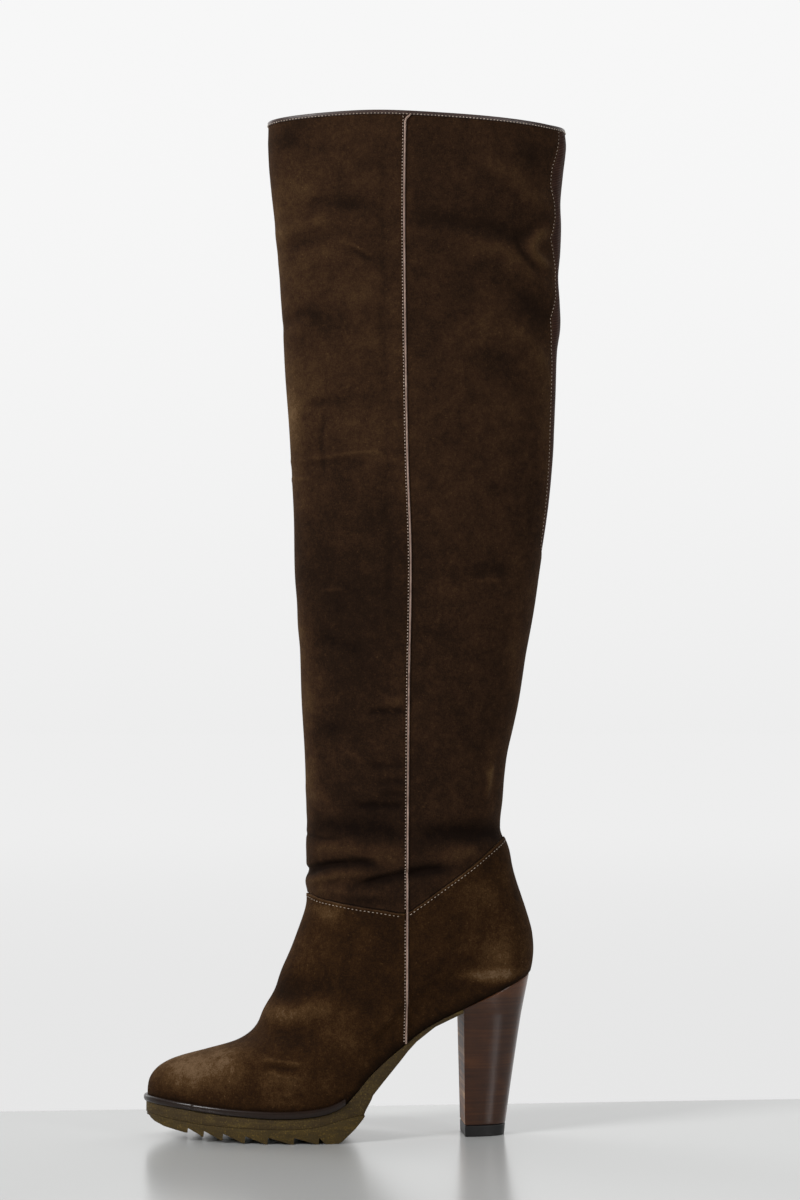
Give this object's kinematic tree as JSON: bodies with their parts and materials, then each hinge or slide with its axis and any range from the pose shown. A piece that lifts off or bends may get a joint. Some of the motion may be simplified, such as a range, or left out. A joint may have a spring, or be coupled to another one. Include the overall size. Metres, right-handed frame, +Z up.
{
  "type": "knee-high boot",
  "caption": "Tall brown suede boot with a high stacked heel, platform forefoot with saw-tooth tread, side piping and a stretch insert behind.",
  "frame": {"origin": "on the floor, at the middle of the boot's bounding box in plan", "axes": "+X from the toe to the heel, +Y from the outer side of the leg to the inner side, +Z up from the floor; the toe points to -X"},
  "size_m": [0.2636, 0.085, 0.6313],
  "materials": {
    "upper_suede": "soft brown suede, brushed paler at the toe",
    "shaft_suede": "soft dark brown suede",
    "binding_leather": "smooth semi-gloss brown leather edging",
    "stretch_insert": "matt stretch fabric",
    "insole_lining": "smooth tan lining leather",
    "rand_leather": "polished blackish brown leather strip",
    "crepe": "matt speckled olive brown crepe",
    "outsole_crepe": "matt speckled olive crepe, a little yellower",
    "stacked_leather": "satin stacked leather, fine level layers",
    "top_lift_rubber": "matt black rubber"
  },
  "bodies": {
    "root": {"upper": "upper_suede", "shaft_front": "shaft_suede", "shaft_back_outer": "shaft_suede", "shaft_back_inner": "shaft_suede", "collar_binding": "binding_leather", "back_gusset": "stretch_insert", "insole": "insole_lining", "rand": "rand_leather", "platform": "crepe", "outsole": "outsole_crepe", "heel": "stacked_leather", "top_lift": "top_lift_rubber"}
  },
  "joints": []
}
